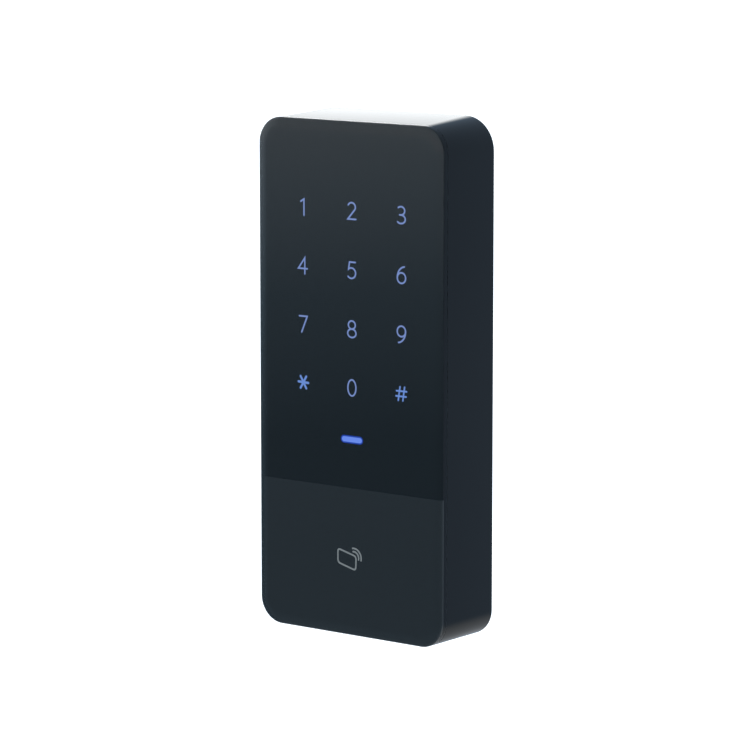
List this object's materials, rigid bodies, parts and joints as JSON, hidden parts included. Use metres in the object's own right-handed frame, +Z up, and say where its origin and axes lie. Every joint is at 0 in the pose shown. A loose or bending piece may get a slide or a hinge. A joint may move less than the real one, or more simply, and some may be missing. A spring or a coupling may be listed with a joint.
{
  "type": "keypad access reader",
  "caption": "Slim upright wall-mounted access reader with a glass touch keypad, a lit status bar, a card field and a rear fixing plate.",
  "frame": {"origin": "middle of the fixing plate's flat back, in the wall plane", "axes": "+Z up along the reader's height, +Y out of the back into the wall, +X to the right as a person faces the glass"},
  "size_m": [0.0794, 0.0305, 0.1796],
  "materials": {
    "housing_black": "polished black moulding",
    "glass": "polished glass, flat with a slight crown towards its rounded edge",
    "film_black": "black ink with clear legends",
    "foam_tape": "matt black foam",
    "white_plastic": "plain white moulding",
    "light_guide": "frosted clear acrylic",
    "circuit_board": "green solder mask",
    "lamp": "white lamp package",
    "brass": "plain turned brass",
    "zinc_steel": "bright zinc plate",
    "black_steel": "blackened screw",
    "can_metal": "tin-plated can",
    "component_black": "moulded black body",
    "relay_blue": "moulded blue case",
    "ferrite": "dark grey ferrite",
    "copper": "enamelled copper winding",
    "cover_black": "fine spark texture",
    "rubber_black": "matt black rubber",
    "membrane": "white breathable membrane",
    "label_blank": "blank silver-grey label",
    "plunger_white": "natural white acetal"
  },
  "bodies": {
    "bracket": {"wall_bracket": "zinc_steel"},
    "lock_screw": {"lock_screw": "zinc_steel"},
    "tamper_plunger": {"tamper_plunger": "plunger_white"},
    "reader": {"antenna_board": "circuit_board", "antenna_coil": "copper", "antenna_link": "component_black", "board_link": "component_black", "board_screw_1": "zinc_steel", "board_screw_2": "zinc_steel", "board_screw_3": "zinc_steel", "board_screw_4": "zinc_steel", "board_spacer_1": "brass", "board_spacer_2": "brass", "board_spacer_3": "brass", "board_spacer_4": "brass", "buzzer": "component_black", "cable_grommet": "rubber_black", "clock_battery": "can_metal", "cover_glass": "glass", "cover_screw_1": "black_steel", "cover_screw_2": "black_steel", "cover_screw_3": "black_steel", "cover_screw_4": "black_steel", "cover_screw_5": "black_steel", "cover_screw_6": "black_steel", "ferrite_sheet": "ferrite", "filter_capacitor_1": "can_metal", "filter_capacitor_2": "can_metal", "front_housing": "housing_black", "glass_adhesive": "foam_tape", "housing_gasket": "rubber_black", "interface_chip": "component_black", "key_led_0": "lamp", "key_led_1": "lamp", "key_led_2": "lamp", "key_led_3": "lamp", "key_led_4": "lamp", "key_led_5": "lamp", "key_led_6": "lamp", "key_led_7": "lamp", "key_led_8": "lamp", "key_led_9": "lamp", "key_led_hash": "lamp", "key_led_star": "lamp", "legend_film": "film_black", "light_baffle": "white_plastic", "lock_relay": "relay_blue", "main_board": "circuit_board", "power_inductor": "ferrite", "processor_shield": "can_metal", "rating_label": "label_blank", "rear_cover": "cover_black", "status_led": "lamp", "status_light_guide": "light_guide", "tamper_spring": "zinc_steel", "tamper_switch": "component_black", "touch_board": "circuit_board", "vent_membrane": "membrane", "wire_header": "white_plastic"}
  },
  "joints": [
    {"name": "reader_lift", "type": "slide", "parent": "bracket", "child": "reader", "axis": [0, 0, 1], "range_m": [0, 0.006]},
    {"name": "lock_screw_travel", "type": "slide", "parent": "reader", "child": "lock_screw", "axis": [0, 0, -1], "range_m": [0, 0.012]},
    {"name": "tamper_travel", "type": "slide", "parent": "reader", "child": "tamper_plunger", "axis": [0, 1, 0], "range_m": [0, 0.0015], "stiffness_N_per_m": 200, "springref_m": 0.0015, "deforming": ["tamper_spring"]}
  ]
}
